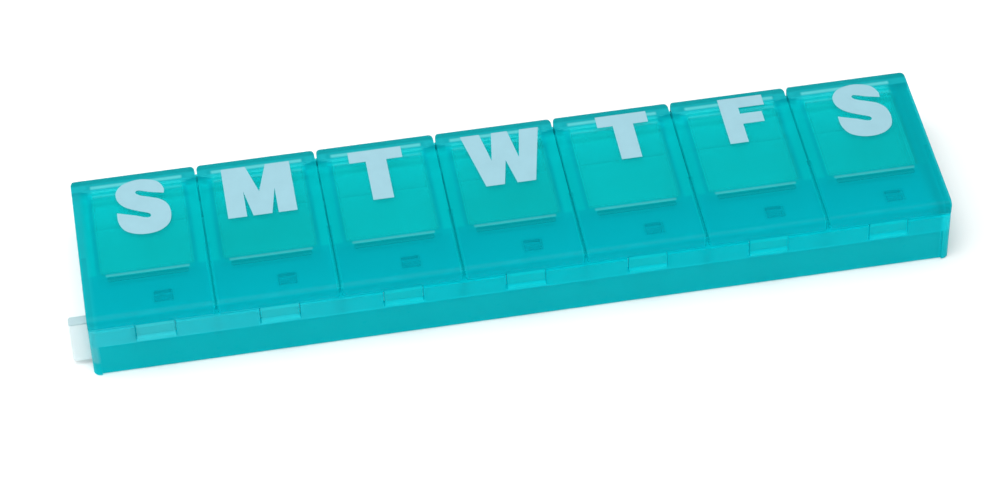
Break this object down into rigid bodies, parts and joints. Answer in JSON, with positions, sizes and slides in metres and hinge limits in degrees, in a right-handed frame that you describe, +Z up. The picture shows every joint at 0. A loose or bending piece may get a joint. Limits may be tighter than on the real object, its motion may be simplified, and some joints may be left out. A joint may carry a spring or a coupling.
{
  "type": "weekly pill organizer",
  "caption": "Long flat translucent pill organizer with a hinged, lettered lid over each day's compartment and a locking slide along the front.",
  "frame": {"origin": "on the resting plane, under the middle of the fourth compartment, in the middle of the case's length", "axes": "+X along the week from Sunday to Saturday, -Y towards the front with the thumb tabs, +Z up through the lids"},
  "size_m": [0.2144, 0.0502, 0.0175],
  "materials": {
    "case_plastic": "glossy translucent teal",
    "lid_plastic": "glossy translucent teal",
    "slide_plastic": "satin translucent white"
  },
  "bodies": {
    "case": {"case": "case_plastic"},
    "lid_sunday": {"lid_sunday": "lid_plastic"},
    "lid_monday": {"lid_monday": "lid_plastic"},
    "lid_tuesday": {"lid_tuesday": "lid_plastic"},
    "lid_wednesday": {"lid_wednesday": "lid_plastic"},
    "lid_thursday": {"lid_thursday": "lid_plastic"},
    "lid_friday": {"lid_friday": "lid_plastic"},
    "lid_saturday": {"lid_saturday": "lid_plastic"},
    "lock_slide": {"lock_slide": "slide_plastic"}
  },
  "joints": [
    {"name": "lid_sunday_hinge", "type": "hinge", "parent": "case", "child": "lid_sunday", "pos_m": [-0.0891, 0.0221, 0.0144], "axis": [-1, 0, 0], "range_deg": [0, 110]},
    {"name": "lid_monday_hinge", "type": "hinge", "parent": "case", "child": "lid_monday", "pos_m": [-0.0594, 0.0221, 0.0144], "axis": [-1, 0, 0], "range_deg": [0, 110]},
    {"name": "lid_tuesday_hinge", "type": "hinge", "parent": "case", "child": "lid_tuesday", "pos_m": [-0.0297, 0.0221, 0.0144], "axis": [-1, 0, 0], "range_deg": [0, 110]},
    {"name": "lid_wednesday_hinge", "type": "hinge", "parent": "case", "child": "lid_wednesday", "pos_m": [0, 0.0221, 0.0144], "axis": [-1, 0, 0], "range_deg": [0, 110]},
    {"name": "lid_thursday_hinge", "type": "hinge", "parent": "case", "child": "lid_thursday", "pos_m": [0.0297, 0.0221, 0.0144], "axis": [-1, 0, 0], "range_deg": [0, 110]},
    {"name": "lid_friday_hinge", "type": "hinge", "parent": "case", "child": "lid_friday", "pos_m": [0.0594, 0.0221, 0.0144], "axis": [-1, 0, 0], "range_deg": [0, 110]},
    {"name": "lid_saturday_hinge", "type": "hinge", "parent": "case", "child": "lid_saturday", "pos_m": [0.0891, 0.0221, 0.0144], "axis": [-1, 0, 0], "range_deg": [0, 110]},
    {"name": "lock_slide_travel", "type": "slide", "parent": "case", "child": "lock_slide", "axis": [1, 0, 0], "range_m": [0, 0.0045]}
  ]
}
